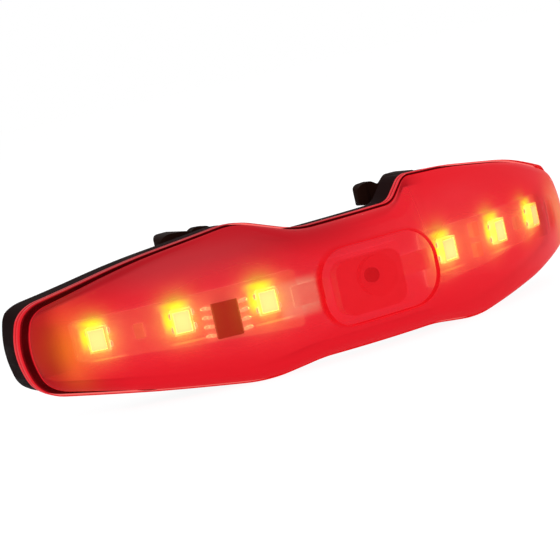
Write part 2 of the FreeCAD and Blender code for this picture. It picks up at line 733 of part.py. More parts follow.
def make_switch():
    """Square tact switch with a bore for its plunger, and the raised frame that stands round it."""
    half = "switch_width / 2"
    front = depth_formula("lamp_thickness - switch_height")
    case = block("switch_case", "switch_width", "switch_height", "switch_width", "0 - " + half, front, "0 - " + half)
    bore = rod("switch_bore", "plunger_radius + plunger_gap", "plunger_length - plunger_top - ( "
               "lamp_thickness - switch_height ) + press_travel + plunger_gap + over_cut", "0",
               depth_formula("lamp_thickness - switch_height - over_cut"), "0")
    finish(cut("tact_switch", case, bore), "tact_switch")
    finish(rod("switch_plunger", "plunger_radius", "plunger_length", "0", depth_formula("( 0 - plunger_top )"), "0"),
           "switch_plunger")

    across, up = size("cover_width") / 2, size("cover_height") / 2
    centre, radius = -size("cover_drop"), size("cover_round")
    corners = [(across, centre + up), (across, centre - up), (-across, centre - up), (-across, centre + up)]
    frame_outline = wire_object("switch_frame_outline", [(x, z, radius) for x, z in corners])
    plate = common("switch_frame_plate", prism("switch_frame_sides", frame_outline),
                   arc_band("switch_frame_band", "cover_top", "( 0 - lamp_thickness )"))
    space = block("switch_frame_space", "switch_width + 2 * cover_gap", "2 * tool_depth",
                  "switch_width + 2 * cover_gap", "0 - switch_width / 2 - cover_gap", "0 - tool_depth",
                  "0 - switch_width / 2 - cover_gap")
    window = common("switch_frame_window", space, arc_cylinder("switch_frame_roof", "switch_roof_level"))
    hole = rod("switch_frame_hole", "plunger_radius + cover_gap", "2 * tool_depth", "0", "0 - tool_depth", "0")
    finish(cut("switch_cover", cut("switch_frame_open", plate, window), hole), "switch_cover")


# Cells, contacts and caps

def make_cell(side, node):
    """Coin cell, flat and closed."""
    front = lamp_level() + size("cell_front")
    can = y_cylinder(size("cell_radius"), front, front + size("cell_height"), 0.0, size("cell_lift"))
    group(node, [turned(can, side * cell_place())])


def make_contact(side, node):
    """Leaf spring between the tray and the cell: a flat foot and a tongue bent down to the cell."""
    tray_back = size("lamp_thickness") + size("board_thickness") + size("tray_thickness")
    foot = lamp_level() + tray_back + size("leaf_gap")
    touch = lamp_level() + size("cell_front")
    half, sheet_metal = size("leaf_length") / 2, size("leaf_thickness")
    root, tip = half - size("leaf_bend"), size("leaf_tip") - half
    profile = [
        (-half, foot), (half, foot), (half, foot + sheet_metal), (root, foot + sheet_metal),
        (tip, touch), (-half, touch), (-half, touch - sheet_metal), (tip, touch - sheet_metal),
        (root - 3 * sheet_metal, foot + sheet_metal), (-half, foot + sheet_metal),
    ]
    wire = Part.makePolygon([top_plane(u, v) for u, v in profile + profile[:1]])
    leaf = Part.Face(wire).extrude(Vector(0, 0, size("leaf_width")))
    leaf.translate(Vector(0, 0, size("cell_lift") - size("leaf_width") / 2))
    group(node, [turned(leaf, side * cell_place())])


def make_cap(side, node):
    """Quarter-turn battery cap: coin-slotted head, plug and two lugs."""
    level, lift = lamp_level(), size("cell_lift")
    cell_back = level + size("cell_front") + size("cell_height")
    head_front = level + size("pod_end") + size("cap_head_gap")
    head_back = head_front + size("cap_thickness")
    plug_front = cell_back + size("cap_clearance")
    plug_radius = well_radius() - size("cap_running_gap")

    head = y_cylinder(size("cap_radius"), head_front, head_back, 0.0, lift)
    rim = [edge for edge in head.Edges if len(edge.Vertexes) == 1 and abs(edge.Vertexes[0].Y - head_back) < 0.001]
    head = head.makeChamfer(size("cap_chamfer"), rim)
    plug = y_cylinder(plug_radius, plug_front, head_front, 0.0, lift)
    lug_back = level + groove_back() - size("lug_gap")
    lug_front = lug_back - size("lug_thickness")
    lugs = [sector(plug_radius + size("lug_reach"), lug_front, lug_back, size("lug_angle"), turn)
            for turn in (0, 180)]
    for lug in lugs:
        lug.translate(Vector(0, 0, lift))
    slot = Part.makeBox(size("coin_slot_length"), size("coin_slot_depth") + size("over_cut"),
                        size("coin_slot_width"))
    slot.translate(Vector(-size("coin_slot_length") / 2, head_back - size("coin_slot_depth"),
                          lift - size("coin_slot_width") / 2))
    cap = head.fuse([plug] + lugs).cut(slot).removeSplitter()
    group(node, [turned(cap, side * cell_place())])


# Hooks that grip the helmet's rear adjuster

def hook_plan(side):
    """Top view of a hook: straight arm, flared shoulder and an inward head with a blunt snap at its tip."""
    inner, outer = size("clip_inner_x"), size("clip_inner_x") + size("clip_arm")
    front, back, tip = size("clip_head_front"), size("clip_head_back"), size("clip_tip_x")
    far = -size("tool_height")
    flare = front - size("clip_flare_y")
    window, head = size("clip_window_x"), size("clip_outer_x")
    small, large = size("clip_round"), size("clip_shoulder")
    corners = [
        (inner, far, 0), (inner, front, small), (window, front, small / 2),
        (window - size("clip_snap_step"), 0.0, small / 2), (tip, 0.0, small), (tip, back, small),
        (head, back, large), (head, flare + size("clip_flare_run"), large), (outer, flare, large),
        (outer, far, 0),
    ]
    return wire_object("hook_plan", [(side * x, y, radius) for x, y, radius in corners], top_plane)


def hook_front(side):
    """Front view of a hook: a wavy top with a hump over the arm and an ear over the tip, and a lower ear."""
    tip, window, outer = size("clip_tip_x"), size("clip_window_x"), size("clip_outer_x")
    dip_x, wave, rise = size("clip_inner_x") + size("clip_dip_shift"), size("clip_wave"), size("clip_wave_rise")
    ear, low = size("clip_ear"), -size("clip_ear_bottom")
    small, bend = size("clip_round"), size("clip_bend")
    corners = [
        (window, ear, small), (tip, ear, small), (tip, size("clip_tip_top"), bend),
        (dip_x - wave, size("clip_tip_top") + rise, bend), (dip_x, size("clip_dip"), 0.8 * bend),
        (dip_x + wave, size("clip_top") + rise, bend), (outer, size("clip_top") + rise, bend),
        (outer, low, bend), (tip, low, bend), (tip, -ear, small), (window, -ear, small),
    ]
    return wire_object("hook_front", [(side * x, z, radius) for x, z, radius in corners])


def upright_prism(name, plan):
    """Top-view outline carried up and down."""
    solid = doc.addObject("Part::Extrusion", name)
    solid.Base = plan
    solid.DirMode = "Custom"
    solid.Dir = Vector(0, 0, 1)
    solid.Solid = True
    bind(solid, LengthFwd="tool_height", LengthRev="tool_height")
    return solid


def make_clip(side, node):
    """Hook: a foot welded to the curved back of the housing, with an arm and head cut from two outlines."""
    arm = common(node + "_arm", upright_prism(node + "_plan", hook_plan(side)),
                 prism(node + "_front", hook_front(side)), arc_cylinder(node + "_seat", "( 0 - housing_back )"))
    inner, outer = size("foot_inner_x"), size("clip_inner_x") + size("clip_arm")
    up, radius = size("clip_bottom"), size("foot_round")
    corners = [(inner, up, radius), (outer, up, 0), (outer, -up, 0), (inner, -up, radius)]
    foot_outline = wire_object(node + "_foot_outline", [(side * x, z, r) for x, z, r in corners])
    foot = common(node + "_foot", prism(node + "_foot_sides", foot_outline),
                  arc_band(node + "_foot_band", "( 0 - housing_back )", "( 0 - housing_back ) - foot_thickness"))
    finish(fuse(node, arm, foot), node)


SIDES = ((-1, "left"), (1, "right"))

make_lens()
make_rear_housing()
make_led_carrier()
make_switch_board()
make_board_links()
make_lamps()
make_chip()
make_small_parts()
make_switch()
make_mode_button()
for side, word in SIDES:
    make_led_board(side, word + "_led_board")
    make_cell(side, word + "_cell")
    make_contact(side, word + "_cell_contact")
    make_cap(side, word + "_battery_cap")
    make_clip(side, word + "_clip")
doc.recompute()

for item in doc.Objects:
    if "Invalid" in item.State or "Error" in item.State:
        raise RuntimeError("%s failed: %s" % (item.Label, item.State))
for node, item in nodes.items():
    if item.Shape.isNull() or not item.Shape.isValid():
        raise RuntimeError("%s has no valid shape" % node)

os.makedirs("parts", exist_ok=True)
for node, item in sorted(nodes.items()):
    item.Shape.exportStep("parts/%s.step" % node)
    box = item.Shape.BoundBox
    print("%-22s %2d solids %9.2f mm3  x %6.1f %6.1f  y %6.1f %6.1f  z %6.1f %6.1f" % (
        node, len(item.Shape.Solids), item.Shape.Volume, box.XMin, box.XMax, box.YMin, box.YMax, box.ZMin, box.ZMax))
print("%d sub-parts" % len(nodes))
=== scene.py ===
import math

import bmesh
import bpy
import numpy as np
from mathutils import Matrix, Vector


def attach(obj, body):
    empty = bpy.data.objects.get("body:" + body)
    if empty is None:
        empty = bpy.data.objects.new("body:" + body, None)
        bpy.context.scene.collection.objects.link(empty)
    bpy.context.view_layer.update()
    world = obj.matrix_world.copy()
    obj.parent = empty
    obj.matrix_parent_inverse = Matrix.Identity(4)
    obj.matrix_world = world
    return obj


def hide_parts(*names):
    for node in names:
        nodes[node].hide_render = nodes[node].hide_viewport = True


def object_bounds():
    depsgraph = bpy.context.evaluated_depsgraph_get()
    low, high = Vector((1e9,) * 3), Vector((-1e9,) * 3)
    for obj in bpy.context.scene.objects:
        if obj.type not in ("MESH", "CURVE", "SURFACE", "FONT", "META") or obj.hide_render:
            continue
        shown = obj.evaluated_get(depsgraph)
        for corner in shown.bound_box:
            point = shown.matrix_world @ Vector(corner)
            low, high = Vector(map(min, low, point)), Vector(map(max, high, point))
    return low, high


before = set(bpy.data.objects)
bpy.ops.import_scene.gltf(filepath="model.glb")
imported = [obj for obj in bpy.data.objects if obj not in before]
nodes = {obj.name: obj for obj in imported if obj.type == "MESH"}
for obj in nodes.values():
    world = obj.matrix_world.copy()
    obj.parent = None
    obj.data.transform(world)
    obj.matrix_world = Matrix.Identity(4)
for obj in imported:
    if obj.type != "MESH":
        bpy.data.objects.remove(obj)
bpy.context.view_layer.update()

# Sizes in millimetres. The lens faces -Y, Z is up, and the inside follows one arc about an upright axis.
MM = 0.001
LAMP_RADIUS = 60.8
ARC_CENTRE = 40.0
FIRST_LAMP = 14.85
LAMP_PITCH = 12.0
CROWN = 5.0
CROWN_RADIUS = 18.0
END_LEVEL = 1.9
HALF_LENGTH = 45.4
FRONT_TOP = ARC_CENTRE - LAMP_RADIUS - CROWN
SWEEP = ARC_CENTRE - math.sqrt((LAMP_RADIUS + END_LEVEL) ** 2 - HALF_LENGTH ** 2) - FRONT_TOP
FRONT_RADIUS = (HALF_LENGTH ** 2 + SWEEP ** 2) / (2 * SWEEP)
FRONT_CENTRE = FRONT_TOP + FRONT_RADIUS
LENS_WALL = 1.0
RIM_FRONT = 0.2
RIM_BACK = -1.28
EDGE_ROUND, EDGE_LEAST, EDGE_SHARE = 2.6, 0.3, 0.72
STEP_ROUND, STEP_GROWTH = 1.6, 0.35
INNER_ROUND = 0.7
BOARD_LEVEL = -0.95
CHIP_ALONG, CHIP_UP = -20.85, -0.95
PIN_PITCH = 1.27

# Corners of two outlines seen from the front: across, up, rounding. Each runs clockwise from the foot of the
# right bulge's step at the top, and the left side mirrors the right one except for that step. The lens body
# stands inside the light's own outline.
LIGHT_STEP = np.array([(6.0, 9.0, 2.5), (8.9, 12.2, 2.5), (17.0, 11.8, 60.0)])
LIGHT_SIDE = np.array([
    (31.0, 9.75, 60.0), (43.9, 6.1, 4.0), (HALF_LENGTH, 0.0, 14.0), (43.9, -6.4, 4.0), (31.0, -8.5, 60.0),
    (17.0, -10.55, 20.0), (9.0, -9.35, 20.0),
])
LIGHT_SOFT = np.array([(17.0, 11.8, 9.0), (9.0, 8.8, 12.0)])
BODY_STEP = np.array([(6.0, 8.65, 2.85), (8.9, 11.85, 2.15), (17.0, 11.45, 60.0)])
BODY_SIDE = np.array([
    (31.0, 9.4, 60.0), (42.9, 5.425, 3.325), (HALF_LENGTH - 1, 0.0, 13.0), (42.9, -5.725, 3.325),
    (31.0, -8.15, 60.0), (17.0, -10.2, 19.65), (9.0, -9.0, 20.35),
])
BODY_SOFT = np.array([(17.0, 11.45, 8.65), (9.0, 8.45, 12.35)])
MIRROR = np.array([-1, 1, 1])
LIGHT_CORNERS = np.vstack([LIGHT_STEP, LIGHT_SIDE, LIGHT_SIDE[::-1] * MIRROR, LIGHT_SOFT * MIRROR])
BODY_CORNERS = np.vstack([BODY_STEP, BODY_SIDE, BODY_SIDE[::-1] * MIRROR, BODY_SOFT * MIRROR])
WAIST_CORNERS = np.array([18, 0, 9, 10])
PAD_CORNERS = np.array([(9.0, 5.0, 4.2), (9.0, -5.6, 4.2), (-9.0, -5.6, 4.2), (-9.0, 5.0, 4.2)])
PAD_MIDDLE = np.array([0.0, -0.3])
PAD_GAP = 0.1
PAD_FLANGE = 0.6
FLANGE_FRONT = 1.12
FLANGE_BACK = 1.62
LIP_ROUND = 0.08
TINTED_END = 0.03
BOSS_RADIUS = 2.75
BOSS_END = ARC_CENTRE - LAMP_RADIUS - 1.65
BOSS_INSIDE = 0.86

# Stations on each corner's arc and on each side: of both outlines, of the pad's hole and of the pad.
ARC_STEPS, SIDE_STEPS = 9, 9
HOLE_ARC_STEPS, HOLE_SIDE_STEPS = 41, 20
PAD_ARC_STEPS, PAD_SIDE_STEPS = 15, 13

# Rings, with both ends: of the lens across its rounded edge, its front, the lip of the hole, its inside and
# its inner edge, and of the pad across its front and the back of its flange.
EDGE_RINGS, FRONT_RINGS, LIP_RINGS, BACK_RINGS, INNER_RINGS = 9, 42, 4, 20, 6
PAD_RINGS, FLANGE_RINGS = 17, 7

# Profile of the lens rim and of the foot of its side: share of the way from the light's outline to the
# body's, level above the lamps, how far it is sunk as a share of that way, and how much cloudier it looks.
RIM_PROFILE = [
    (0.06, RIM_BACK, 0, 0.1), (0.0, -1.2, 0, 0.1), (0.0, -0.7, 0, 0.1), (0.09, -0.6, 0, -1.2),
    (0.09, -0.5, 0, -1.2), (0.0, -0.4, 0, 0.1), (0.0, 0.05, 0, 0.1), (0.05, 0.15, 0, 0.1),
    (0.14, RIM_FRONT, 0, 0.1), (0.2, RIM_FRONT, 0, -1.2), (0.45, RIM_FRONT, 0.1, -1.55),
    (0.7, RIM_FRONT, 0.1, -1.55), (0.9, RIM_FRONT, 0, -1.55), (1.0, 0.26, 0, -1.5), (1.0, 0.42, 0, -0.75),
]

# How far the haze reaches in from the edge, at the left and at the right, and the span where that changes;
# how far the left end's wall has to face sideways to be clear; the painted shade band at the top left, where
# the lens turns clearer so that the dark wall behind shows, with its depth, its width and where it starts;
# the haze of the right end; and the clear place before the last lamp there.
LEFT_HAZE, RIGHT_HAZE, HAZE_SPAN = 4.4, 6.0, (5.0, 18.0)
END_WALL = (0.15, 0.75)
SHADE_BAND_DEPTH, SHADE_BAND_WIDTH, SHADE_BAND_ACROSS, SHADE_BAND_UP = 0.7, 1.3, (27.0, 40.0), (0.0, 2.0)
END_HAZE, END_SPAN = 0.92, (33.2, 35.0)
LAST_LAMP_X, LAST_LAMP_WIDTH, LAST_LAMP_HEIGHT, LAST_LAMP_CLEAR = 36.6, 1.5, 2.4, 0.9
BLUR_STATIONS = 9


# Surfaces

def rounded_outline(corners, arc_steps, side_steps):
    """Stations round a polygon with rounded corners, as points and outward normals.

    On a corner the point is the arc's centre plus its radius along a normal that turns evenly from one side's
    to the next; on a side the point moves evenly from one arc to the next."""
    here, radius = corners[:, :2], corners[:, 2:]
    ahead = np.roll(here, -1, axis=0) - here
    ahead /= np.linalg.norm(ahead, axis=1, keepdims=True)
    behind = np.roll(ahead, 1, axis=0)
    turn = np.arctan2(behind[:, 0] * ahead[:, 1] - behind[:, 1] * ahead[:, 0], np.sum(behind * ahead, axis=1))
    run = radius * np.tan(np.abs(turn) / 2)[:, None]
    first = np.arctan2(behind[:, 0], -behind[:, 1])
    bulging = -np.sign(turn)[:, None]
    centre = here - behind * run - bulging * radius * np.stack([np.cos(first), np.sin(first)], axis=1)
    angle = first[:, None] + turn[:, None] * np.linspace(0, 1, arc_steps)
    arc_normals = np.stack([np.cos(angle), np.sin(angle)], axis=2)
    arcs = centre[:, None, :] + (bulging * radius)[:, None, :] * arc_normals
    along = np.linspace(0, 1, side_steps + 2)[1:-1, None]
    starts, ends = arcs[:, -1:, :], np.roll(arcs[:, :1, :], -1, axis=0)
    sides = starts + (ends - starts) * along
    side_normals = np.repeat(arc_normals[:, -1:, :], side_steps, axis=1)
    points = np.concatenate([arcs, sides], axis=1).reshape(-1, 2)
    normals = np.concatenate([arc_normals, side_normals], axis=1).reshape(-1, 2)
    return points, normals


def quarters(points, marks):
    """Place of each station on the way round, in quarters: the four marked stations are at 0, 1, 2 and 3, and
    between two of them the value grows with the length walked."""
    steps = np.linalg.norm(np.roll(points, -1, axis=0) - points, axis=1)
    walked = np.concatenate([[0], np.cumsum(steps)])
    total, known = walked[-1], walked[marks]
    known = np.where(np.arange(4) < 1, known - total, known)
    spots = np.concatenate([known, known + total])
    return np.interp(walked[:-1], spots, np.arange(8)) % 4


def level_depth(x, level):
    """Y of the point at a level above the lamps: the arc's axis less what is left of its radius."""
    return ARC_CENTRE - np.sqrt((LAMP_RADIUS + level) ** 2 - x ** 2)


def front_depth(x, z, inward):
    """Y of the lens front: a circle seen from above, whose radius shrinks with height as on a crown."""
    reach = FRONT_RADIUS - CROWN_RADIUS + np.sqrt((CROWN_RADIUS - inward) ** 2 - z ** 2)
    return FRONT_CENTRE - np.sqrt(reach ** 2 - x ** 2)


def fade(value, start, end):
    """Smooth step from 0 to 1 between two values."""
    share = np.clip((value - start) / (end - start), 0, 1)
    return share * share * (3 - 2 * share)


def ring_quads(rings, stations, closed):
    """Quads between neighbouring closed rings of a grid; if asked, the last ring joins the first."""
    ring, station = np.meshgrid(np.arange(rings if closed else rings - 1), np.arange(stations), indexing="ij")
    after, beside = (ring + 1) % rings, (station + 1) % stations
    corners = [ring * stations + station, ring * stations + beside, after * stations + beside,
               after * stations + station]
    return np.stack(corners, axis=-1).reshape(-1, 4)


def pole_triangles(ring, stations, pole, first):
    """Triangles from the first or the last ring of a grid to a single point."""
    station = np.arange(stations)
    here, beside = ring * stations + station, ring * stations + (station + 1) % stations
    pair = [beside, here] if first else [here, beside]
    return np.stack(pair + [np.full(stations, pole)], axis=1)


def make_piece(name, points, quads, triangles, body, stands_for=()):
    """Mesh from points in millimetres, faced outwards by the sign of the volume that it encloses."""
    halves = np.concatenate([quads[:, :3], quads[:, [0, 2, 3]], triangles])
    a, b, c = (points[halves[:, index]] for index in range(3))
    if np.sum(np.cross(a, b) * c) < 0:
        quads, triangles = quads[:, ::-1], triangles[:, ::-1]
    mesh = bpy.data.meshes.new(name)
    mesh.from_pydata(points * MM, [], quads.tolist() + triangles.tolist())
    mesh.shade_smooth()
    mesh.set_sharp_from_angle(angle=math.radians(50))
    piece = bpy.data.objects.new(name, mesh)
    bpy.context.scene.collection.objects.link(piece)
    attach(piece, body)
    if stands_for:
        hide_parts(*stands_for)
    return piece


def keep_values(piece, name, values):
    """One number per vertex, which a material can read."""
    piece.data.attributes.new(name, "FLOAT", "POINT").data.foreach_set("value", values)


NO_TRIANGLES = np.empty((0, 3), dtype=int)


def flat_to_space(flat, depth):
    """Points of the front view with their depths, as X, Y and Z."""
    return np.stack([flat[:, 0], depth, flat[:, 1]], axis=1)


def make_lens():
    """Closed shell: a profile carried round the outline. It climbs the rim with its groove, the side and the
    rounded edge, crosses the crowned front to the press pad's hole, goes down the hole's wall and comes back
    along the inside. Across the front the stations move evenly towards their partners on the hole. Each point
    keeps whether it is inside and how cloudy it looks, which is e to the minus of its distance from the edge
    over the haze's reach, to the fourth power."""
    outline, _ = rounded_outline(LIGHT_CORNERS, ARC_STEPS, SIDE_STEPS)
    foot, foot_normals = rounded_outline(BODY_CORNERS, ARC_STEPS, SIDE_STEPS)
    place = quarters(outline, WAIST_CORNERS * (ARC_STEPS + SIDE_STEPS) + ARC_STEPS // 2)
    hole, hole_normals = rounded_outline(PAD_CORNERS, HOLE_ARC_STEPS, HOLE_SIDE_STEPS)
    hole_marks = np.array([3, 0, 1, 2]) * (HOLE_ARC_STEPS + HOLE_SIDE_STEPS) + HOLE_ARC_STEPS // 2
    hole_place = quarters(hole, hole_marks)
    order = np.argsort(hole_place)
    partners, partner_normals = (
        np.stack([np.interp(place, hole_place[order], values[order, axis], period=4) for axis in (0, 1)],
                 axis=1)
        for values in (hole, hole_normals))
    rings, clouds, insides = [], [], []

    end_wall = fade(-foot_normals[:, 0], *END_WALL)
    haze_reach = LEFT_HAZE + (RIGHT_HAZE - LEFT_HAZE) * fade(foot[:, 0], *HAZE_SPAN)

    def carry(flat, depth, inside=0.0, cloud=0.0):
        """Keep one ring, and its cloudiness from its distance inside the body's outline, smoothed along the
        ring. The rim's rings, which bring a cloudiness of their own, count as lying at the edge."""
        rings.append(flat_to_space(flat, depth))
        front = cloud == 0
        across, up = flat[:, 0], flat[:, 1]
        inset = np.min(np.linalg.norm(flat[:, None] - foot, axis=2), axis=1) * front
        thick = np.exp(-(inset / haze_reach) ** 4) * (1 - end_wall * (inset > 0))
        # Painted shade band at the top left: the lens turns clearer near the edge, so that the dark wall
        # behind shows.
        shade_band = fade(-across, *SHADE_BAND_ACROSS) * (1 - end_wall) * front * np.exp(-(inset / SHADE_BAND_WIDTH) ** 2)
        shade_band *= SHADE_BAND_DEPTH * fade(up, *SHADE_BAND_UP)
        thick = np.maximum(thick - shade_band, END_HAZE * fade(across, *END_SPAN))
        beside = range(-BLUR_STATIONS, BLUR_STATIONS + 1) if front else [0]
        thick = sum(np.roll(thick, step) for step in beside) / len(beside)
        lamp = np.exp(-((across - LAST_LAMP_X) / LAST_LAMP_WIDTH) ** 4 - (up / LAST_LAMP_HEIGHT) ** 4)
        clouds.append(thick * (1 - LAST_LAMP_CLEAR * lamp) + cloud)
        insides.append(np.full(len(flat), inside))

    width = np.linalg.norm(foot - outline, axis=1)
    for share, level, sunk, cloud in RIM_PROFILE:
        flat = outline + (foot - outline) * share
        carry(flat, level_depth(flat[:, 0], level) + sunk * width, float(level == RIM_BACK), cloud)

    height = level_depth(foot[:, 0], RIM_FRONT) - front_depth(foot[:, 0], foot[:, 1], 0.0)
    tight = STEP_ROUND + STEP_GROWTH * np.linalg.norm(foot - BODY_STEP[1, :2], axis=1)
    edge = np.minimum(np.clip(EDGE_SHARE * height, EDGE_LEAST, EDGE_ROUND), tight)[:, None]
    for turn in np.linspace(0, math.pi / 2, EDGE_RINGS):
        flat = foot - foot_normals * edge * (1 - math.cos(turn))
        depth = front_depth(flat[:, 0], flat[:, 1], 0.0) + edge[:, 0] * (1 - math.sin(turn))
        carry(flat, depth)

    outer_edge = foot - foot_normals * edge
    lip = partners + partner_normals * (PAD_GAP + LIP_ROUND)
    for share in np.linspace(0, 1, FRONT_RINGS)[1:-1]:
        flat = outer_edge + (lip - outer_edge) * share
        carry(flat, front_depth(flat[:, 0], flat[:, 1], 0.0))
    for turn in np.linspace(0, math.pi / 2, LIP_RINGS):
        flat = partners + partner_normals * (PAD_GAP + LIP_ROUND * (1 - math.sin(turn)))
        carry(flat, front_depth(flat[:, 0], flat[:, 1], 0.0) + LIP_ROUND * (1 - math.cos(turn)))

    hole_edge = partners + partner_normals * PAD_GAP
    carry(hole_edge, front_depth(hole_edge[:, 0], hole_edge[:, 1], LENS_WALL - TINTED_END))
    inner_edge = foot - foot_normals * (LENS_WALL + INNER_ROUND)
    for share in np.linspace(1, 0, BACK_RINGS)[:-1]:
        flat = inner_edge + (hole_edge - inner_edge) * share
        carry(flat, front_depth(flat[:, 0], flat[:, 1], LENS_WALL), 1.0)
    for turn in np.linspace(math.pi / 2, 0, INNER_RINGS):
        flat = foot - foot_normals * (LENS_WALL + INNER_ROUND * (1 - math.cos(turn)))
        depth = front_depth(flat[:, 0], flat[:, 1], LENS_WALL) + INNER_ROUND * (1 - math.sin(turn))
        carry(flat, depth, 1.0)
    flat = foot - foot_normals * LENS_WALL
    carry(flat, level_depth(flat[:, 0], RIM_BACK), 1.0)

    quads = ring_quads(len(rings), len(outline), True)
    piece = make_piece("lens_shell", np.concatenate(rings), quads, NO_TRIANGLES, "light",
                       ["lens"])
    keep_values(piece, "cloud", np.concatenate(clouds))
    keep_values(piece, "inside", np.concatenate(insides))
    return piece


def make_press_pad():
    """Closed solid: rings grow from the middle of the crowned front to its rounded edge, go down the side,
    out and round the flange, in to the boss and down to its end. Its front and its side hold the colour, and
    the boss a little of it; the rest counts as inside."""
    outline, normals = rounded_outline(PAD_CORNERS, PAD_ARC_STEPS, PAD_SIDE_STEPS)
    rings = []
    rim = outline - normals * LIP_ROUND
    for share in np.linspace(0, 1, PAD_RINGS)[1:-1]:
        flat = PAD_MIDDLE + (rim - PAD_MIDDLE) * share
        rings.append(flat_to_space(flat, front_depth(flat[:, 0], flat[:, 1], 0.0)))
    for turn in np.linspace(math.pi / 2, 0, LIP_RINGS):
        flat = outline - normals * LIP_ROUND * (1 - math.cos(turn))
        depth = front_depth(flat[:, 0], flat[:, 1], 0.0) + LIP_ROUND * (1 - math.sin(turn))
        rings.append(flat_to_space(flat, depth))
    flange = [(0.0, FLANGE_FRONT - TINTED_END), (0.0, FLANGE_FRONT), (2 * PAD_GAP, FLANGE_FRONT),
              (PAD_FLANGE, FLANGE_FRONT), (PAD_FLANGE, FLANGE_BACK)]
    outer_rings = len(rings) + 3
    for reach, inward in flange:
        flat = outline + normals * reach
        rings.append(flat_to_space(flat, front_depth(flat[:, 0], flat[:, 1], inward)))
    foot = outline / np.linalg.norm(outline, axis=1, keepdims=True)
    back = outline + normals * PAD_FLANGE
    for share in np.linspace(0, 1, FLANGE_RINGS)[1:]:
        flat = back + (foot * (BOSS_RADIUS + 0.3) - back) * share
        rings.append(flat_to_space(flat, front_depth(flat[:, 0], flat[:, 1], FLANGE_BACK)))
    root = front_depth(0.0, 0.0, FLANGE_BACK)
    boss = [(2.83, root + 0.08), (BOSS_RADIUS, root + 0.3), (BOSS_RADIUS, BOSS_END - 0.25),
            (2.68, BOSS_END - 0.07), (2.5, BOSS_END), (1.2, BOSS_END)]
    for radius, depth in boss:
        rings.append(flat_to_space(foot * radius, np.full(len(foot), depth)))
    stations, count = len(outline), len(rings)
    front_pole = [PAD_MIDDLE[0], front_depth(PAD_MIDDLE[0], PAD_MIDDLE[1], 0.0), PAD_MIDDLE[1]]
    points = np.concatenate(rings + [np.array([front_pole, [0.0, BOSS_END, 0.0]])])
    triangles = np.concatenate([pole_triangles(0, stations, count * stations, True),
                                pole_triangles(count - 1, stations, count * stations + 1, False)])
    quads = ring_quads(count, stations, False)
    piece = make_piece("press_pad", points, quads, triangles, "button", ["mode_button"])
    inside = np.where(np.arange(len(points)) < outer_rings * stations, 0.0, 1.0)
    inside[-len(boss) * stations - 2:] = BOSS_INSIDE
    inside[-2] = 0.0
    keep_values(piece, "inside", inside)
    return piece


def on_arc(points, along, up):
    """Points given across, behind the lamps' front and up, turned about the arc's axis by an arc distance."""
    angle = np.asarray(along) / LAMP_RADIUS
    reach = LAMP_RADIUS - points[..., 1]
    return np.stack([points[..., 0] * np.cos(angle) + reach * np.sin(angle),
                     ARC_CENTRE + points[..., 0] * np.sin(angle) - reach * np.cos(angle),
                     points[..., 2] + up], axis=-1)


def make_chip():
    """Moulded chip body: rounded rectangles stacked from back to front, widest where its halves meet."""
    rings = []
    corner_round = 0.12
    for half_width, half_length, depth in [
            (1.3, 1.8, 0.8), (1.7, 2.28, 0.8), (1.85, 2.45, 0.2), (1.85, 2.45, 0.1), (1.72, 2.42, -0.42),
            (1.68, 2.38, -0.49), (1.6, 2.3, -0.5), (0.9, 1.4, -0.5)]:
        corners = np.array([(half_width, half_length, corner_round), (half_width, -half_length, corner_round),
                            (-half_width, -half_length, corner_round),
                            (-half_width, half_length, corner_round)])
        flat, _ = rounded_outline(corners, 5, 3)
        rings.append(flat_to_space(flat, np.full(len(flat), depth)))
    stations, count = len(rings[0]), len(rings)
    points = np.concatenate(rings + [np.array([(0, 0.8, 0), (0, -0.5, 0)])])
    triangles = np.concatenate([pole_triangles(0, stations, count * stations, True),
                                pole_triangles(count - 1, stations, count * stations + 1, False)])
    points = on_arc(points, CHIP_ALONG, CHIP_UP)
    quads = ring_quads(count, stations, False)
    return make_piece("chip_body", points, quads, triangles, "light", ["controller_chip"])


def make_solder():
    """Solder joints: flattened balls sunk in the boards, one ball's grid of latitude and longitude copied to
    every place. A place is its distance along the arc, its height and the ball's three half sizes."""
    pins = (np.arange(4) - 1.5) * PIN_PITCH + CHIP_UP
    foot_reach, pad_reach, pad_height = 2.85, 1.55, 0.95
    foot_size, pad_size = (0.55, 0.3, 0.26), (0.3, 0.25, 0.5)
    feet = [(CHIP_ALONG + side * foot_reach, up, *foot_size) for side in (-1, 1) for up in pins]
    lamps = [(side * (FIRST_LAMP + LAMP_PITCH * index) + across * pad_reach, up, *pad_size)
             for side in (-1, 1) for index in range(3)
             for across in (-1, 1) for up in (-pad_height, pad_height)]
    places = np.array(feet + lamps)
    rings, stations = 6, 10
    latitudes = np.linspace(0, math.pi, rings + 2)[1:-1]
    longitudes = np.linspace(0, 2 * math.pi, stations + 1)[:-1]
    across, around = np.meshgrid(latitudes, longitudes, indexing="ij")
    ball = np.stack([np.sin(across) * np.cos(around), np.cos(across), np.sin(across) * np.sin(around)],
                    axis=-1)
    ball = np.concatenate([ball.reshape(-1, 3), [(0, 1, 0), (0, -1, 0)]])
    local = ball[None] * places[:, None, 2:5]
    local[..., 1] -= BOARD_LEVEL
    points = on_arc(local, places[:, :1], places[:, 1:2])
    size = len(ball)
    quads = ring_quads(rings, stations, False)
    triangles = np.concatenate([pole_triangles(0, stations, size - 2, True),
                                pole_triangles(rings - 1, stations, size - 1, False)])
    shift = (np.arange(len(places)) * size)[:, None, None]
    return make_piece("solder_joints", points.reshape(-1, 3), (quads[None] + shift).reshape(-1, 4),
                      (triangles[None] + shift).reshape(-1, 3), "light")


